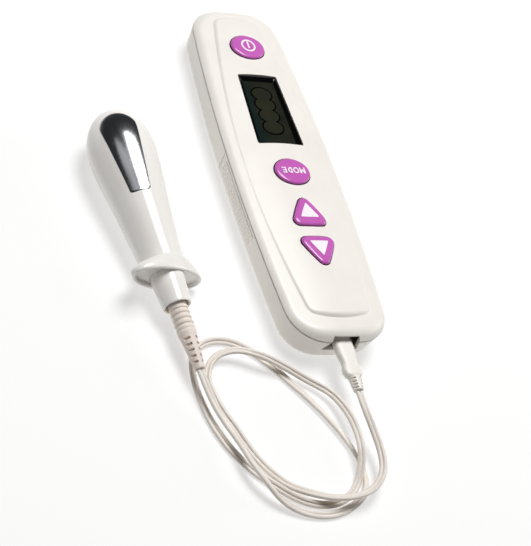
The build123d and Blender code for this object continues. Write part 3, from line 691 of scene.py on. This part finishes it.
neck = lathe("taper_neck", neck_rows, lambda angle, station: 0.0, abs_buffed, probe, 0.8)
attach(neck, "lead")
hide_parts("probe_neck")

# ---- probe sleeve --------------------------------------------------------------------------------
# The lead leaves the neck in a sleeve of soft ivory elastomer: a collar, four rounded rings, then a
# tapering tail cut by rows of short slots so that it bends in a wide arc.
elastomer = plastic("moulded_elastomer_ivory", "#E3D6CC", "#ECE1D7", 0.5, 2200.0, 0.14, edge=0.15, ior=1.5)
reach = (tail - bulb).length
rows = [(2.6, 57.0), (3.1, 57.2), (3.2, 62.4), (3.3, 63.6), (3.2, 64.0)]
ring_profile = [
    (2.9, 0.2), (2.88, 0.45), (2.95, 0.7), (3.25, 0.95), (3.35, 1.35), (3.3, 1.75), (3.15, 1.95)]
for k in range(4):
    rows += [(r, 64.0 + 2.0 * k + s) for r, s in ring_profile]
rows += [(3.2, 72.3), (3.35, 72.9), (3.2, 73.8), (3.0, 74.6), (1.8, reach - 0.2), (1.6, reach)]
tail_sleeve = lathe("probe_sleeve", rows, short_slots(75.2, 2.15, 5, 0.8, 0.36, 1.0), elastomer, probe, 0.1)
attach(tail_sleeve, "lead")
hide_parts("probe_strain_relief")

# ---- screws --------------------------------------------------------------------------------------
# Self-tapping pan-head screws, zinc plated, with a cross recess: four hold the case together from
# below, four smaller ones hold the board up in the upper shell.
zinc = metal("zinc_plated_steel", "#A8ABB0", "#C4C6C9", 0.3, 2500.0, 0.08, edge=0.1)
screws, given = new_tree(
    "screw_set", ("Head Radius", "NodeSocketFloat"), ("Head Height", "NodeSocketFloat"),
    ("Shank Radius", "NodeSocketFloat"), ("Shank Length", "NodeSocketFloat"))
head = add(screws, "GeometryNodeMeshCylinder", {
    "Vertices": 40, "Radius": given.outputs["Head Radius"], "Depth": given.outputs["Head Height"]})
slot_long = add(screws, "ShaderNodeMath", {0: given.outputs["Head Radius"], 1: 1.1}, operation="MULTIPLY")
slot_wide = add(screws, "ShaderNodeMath", {0: given.outputs["Head Radius"], 1: 0.22}, operation="MULTIPLY")
bar_a = add(screws, "ShaderNodeCombineXYZ", {
    "X": slot_long.outputs[0], "Y": slot_wide.outputs[0], "Z": given.outputs["Head Height"]})
bar_b = add(screws, "ShaderNodeCombineXYZ", {
    "X": slot_wide.outputs[0], "Y": slot_long.outputs[0], "Z": given.outputs["Head Height"]})
sink = add(screws, "ShaderNodeMath", {0: given.outputs["Head Height"], 1: -0.45}, operation="MULTIPLY")
drop = add(screws, "ShaderNodeCombineXYZ", {"Z": sink.outputs[0]})
cross = add(screws, "GeometryNodeMeshBoolean", {}, operation="DIFFERENCE", solver="EXACT")
screws.links.new(head.outputs["Mesh"], cross.inputs["Mesh 1"])
for bar in (bar_a, bar_b):
    block = add(screws, "GeometryNodeMeshCube", {"Size": bar.outputs["Vector"]})
    sunk = add(screws, "GeometryNodeTransform", {
        "Geometry": block.outputs["Mesh"], "Translation": drop.outputs["Vector"]})
    screws.links.new(sunk.outputs["Geometry"], cross.inputs["Mesh 2"])
shank = add(screws, "GeometryNodeMeshCylinder", {
    "Vertices": 24, "Radius": given.outputs["Shank Radius"], "Depth": given.outputs["Shank Length"]})
half = add(screws, "ShaderNodeMath", {0: given.outputs["Shank Length"], 1: 0.5}, operation="MULTIPLY")
rise = add(screws, "ShaderNodeCombineXYZ", {"Z": half.outputs[0]})
raised = add(screws, "GeometryNodeTransform", {
    "Geometry": shank.outputs["Mesh"], "Translation": rise.outputs["Vector"]})
whole = add(screws, "GeometryNodeJoinGeometry", {})
for part in (cross.outputs["Mesh"], raised.outputs["Geometry"]):
    screws.links.new(part, whole.inputs["Geometry"])
spots = add(screws, "GeometryNodeInstanceOnPoints", {
    "Points": given.outputs["Geometry"], "Instance": whole.outputs["Geometry"]})
close_tree(screws, given, spots.outputs["Instances"])
case_rear = [(11.5, 64.0, 1.55), (-11.5, 64.0, 1.55)]
case_front = [(16.2, -4.0, 6.35), (-16.2, -4.0, 6.35)]
on_board = [(x, y, 12.35) for y in (46.5, -42.0) for x in (10.6, -10.6)]
screw_sets = [                          # head radius and height, then shank radius and length
    ("case_screw_set_rear", "case_screws", case_rear, 1.6, 1.25, 0.7, 12.5),
    ("case_screw_set_front", None, case_front, 1.6, 1.25, 0.7, 7.7),
    ("board_screw_set", "board_screws", on_board, 1.3, 0.75, 0.5, 2.6),
]
for name, node, points, radius, height, shank_r, length in screw_sets:
    piece = repeat_on(name, [Vector(p) * MM for p in points], "screw_set", screws, zinc, "controller", **{
        "Head Radius": radius * MM, "Head Height": height * MM, "Shank Radius": shank_r * MM,
        "Shank Length": length * MM})
    if node:
        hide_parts(node)

# ---- electronics ---------------------------------------------------------------------------------
# A green solder-masked glass-epoxy board carries, on its lower face, the moulded-epoxy controller, a
# wound step-up transformer, two output capacitors and a buzzer; on top, four tinned snap domes under
# the keys.
# Solder mask: a glossy green coat, slightly uneven over the weave.
board_green = plastic("solder_masked_glass_epoxy", "#1D5A34", "#26703F", 0.3, 1200.0, 0.25, ior=1.55)
finish_node("circuit_board", board_green)
# Moulding compound of the controller chip: matt charcoal, slightly sandy.
chip_black = plastic("moulded_epoxy_black", "#151515", "#1E1E1F", 0.55, 3000.0, 0.3, edge=0.1)
finish_node("microcontroller", chip_black)
# The buzzer's can: satin black PBT.
can_black = plastic("moulded_pbt_black", "#101011", "#181819", 0.45, 2500.0, 0.2, edge=0.2)
finish_node("buzzer", can_black)
# The transformer's pressed and sintered core: dull dark grey, rough as fine stoneware.
ferrite = plastic("pressed_ferrite", "#26262A", "#333338", 0.6, 1800.0, 0.4, edge=0.15)
finish_node("step_up_transformer", ferrite)
# The capacitors' shrink sleeves: smooth blue film, tight and glossy.
sleeve_blue = plastic("shrunk_pet_sleeve_blue", "#1F3566", "#27417A", 0.28, 1500.0, 0.08, edge=0.3)
finish_node("output_capacitors", sleeve_blue)
# The snap domes: nickel-plated spring steel, bright with a warm cast.
nickel = metal("nickel_plated_steel", "#B9B8B2", "#D0CFC9", 0.22, 1800.0, 0.05, edge=0.1)
finish_node("dome_switches", nickel)
# Glass-filled PBT of the lead's socket: matt black with a slightly fibrous skin.
socket_black = plastic("glass_filled_pbt_black", "#0B0B0C", "#151516", 0.5, 2600.0, 0.25, edge=0.15)
finish_node("lead_socket", socket_black)

# ---- batteries -----------------------------------------------------------------------------------
# Two AAA cells lie side by side in the tray, each in a printed shrink film, between stamped contact
# plates and conical springs of nickel-plated steel wire.
cell_film = plastic("shrunk_pvc_film", "#2B2D33", "#3A3C44", 0.22, 1200.0, 0.06, edge=0.4)
for name in ("battery_cell_left", "battery_cell_right"):
    finish_node(name, cell_film)
contact = metal("stamped_nickel_strip", "#B4B2AA", "#CBC9C2", 0.28, 1600.0, 0.08, (1.0, 1.0, 0.15), 0.1)
finish_node("battery_plates", contact)
coils, given = new_tree(
    "cone_spring", ("Turns", "NodeSocketFloat"), ("Wide Radius", "NodeSocketFloat"),
    ("Narrow Radius", "NodeSocketFloat"), ("Height", "NodeSocketFloat"),
    ("Wire Radius", "NodeSocketFloat"), ("Facing", "NodeSocketVector"))
turns = add(coils, "GeometryNodeCurveSpiral", {
    "Resolution": 28, "Rotations": given.outputs["Turns"], "Start Radius": given.outputs["Wide Radius"],
    "End Radius": given.outputs["Narrow Radius"], "Height": given.outputs["Height"]})
wire = add(coils, "GeometryNodeCurvePrimitiveCircle", {
    "Resolution": 10, "Radius": given.outputs["Wire Radius"]})
coil = add(coils, "GeometryNodeCurveToMesh", {
    "Curve": turns.outputs["Curve"], "Profile Curve": wire.outputs["Curve"], "Fill Caps": True})
spots = add(coils, "GeometryNodeInstanceOnPoints", {
    "Points": given.outputs["Geometry"], "Instance": coil.outputs["Mesh"],
    "Rotation": given.outputs["Facing"]})
close_tree(coils, given, spots.outputs["Instances"])
for side, label in ((-1, "left"), (1, "right")):
    start = Vector((side * 5.6, -35.0 - side * 24.5, 7.0)) * MM
    piece = repeat_on("coil_spring_" + label, [start], "cone_spring", coils, contact, "controller", **{
        "Turns": 3.5, "Wide Radius": 3.2 * MM, "Narrow Radius": 2.0 * MM, "Height": 1.9 * MM,
        "Wire Radius": 0.3 * MM, "Facing": (math.radians(-90 * side), 0.0, 0.0)})
    if side > 0:
        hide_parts("battery_springs")
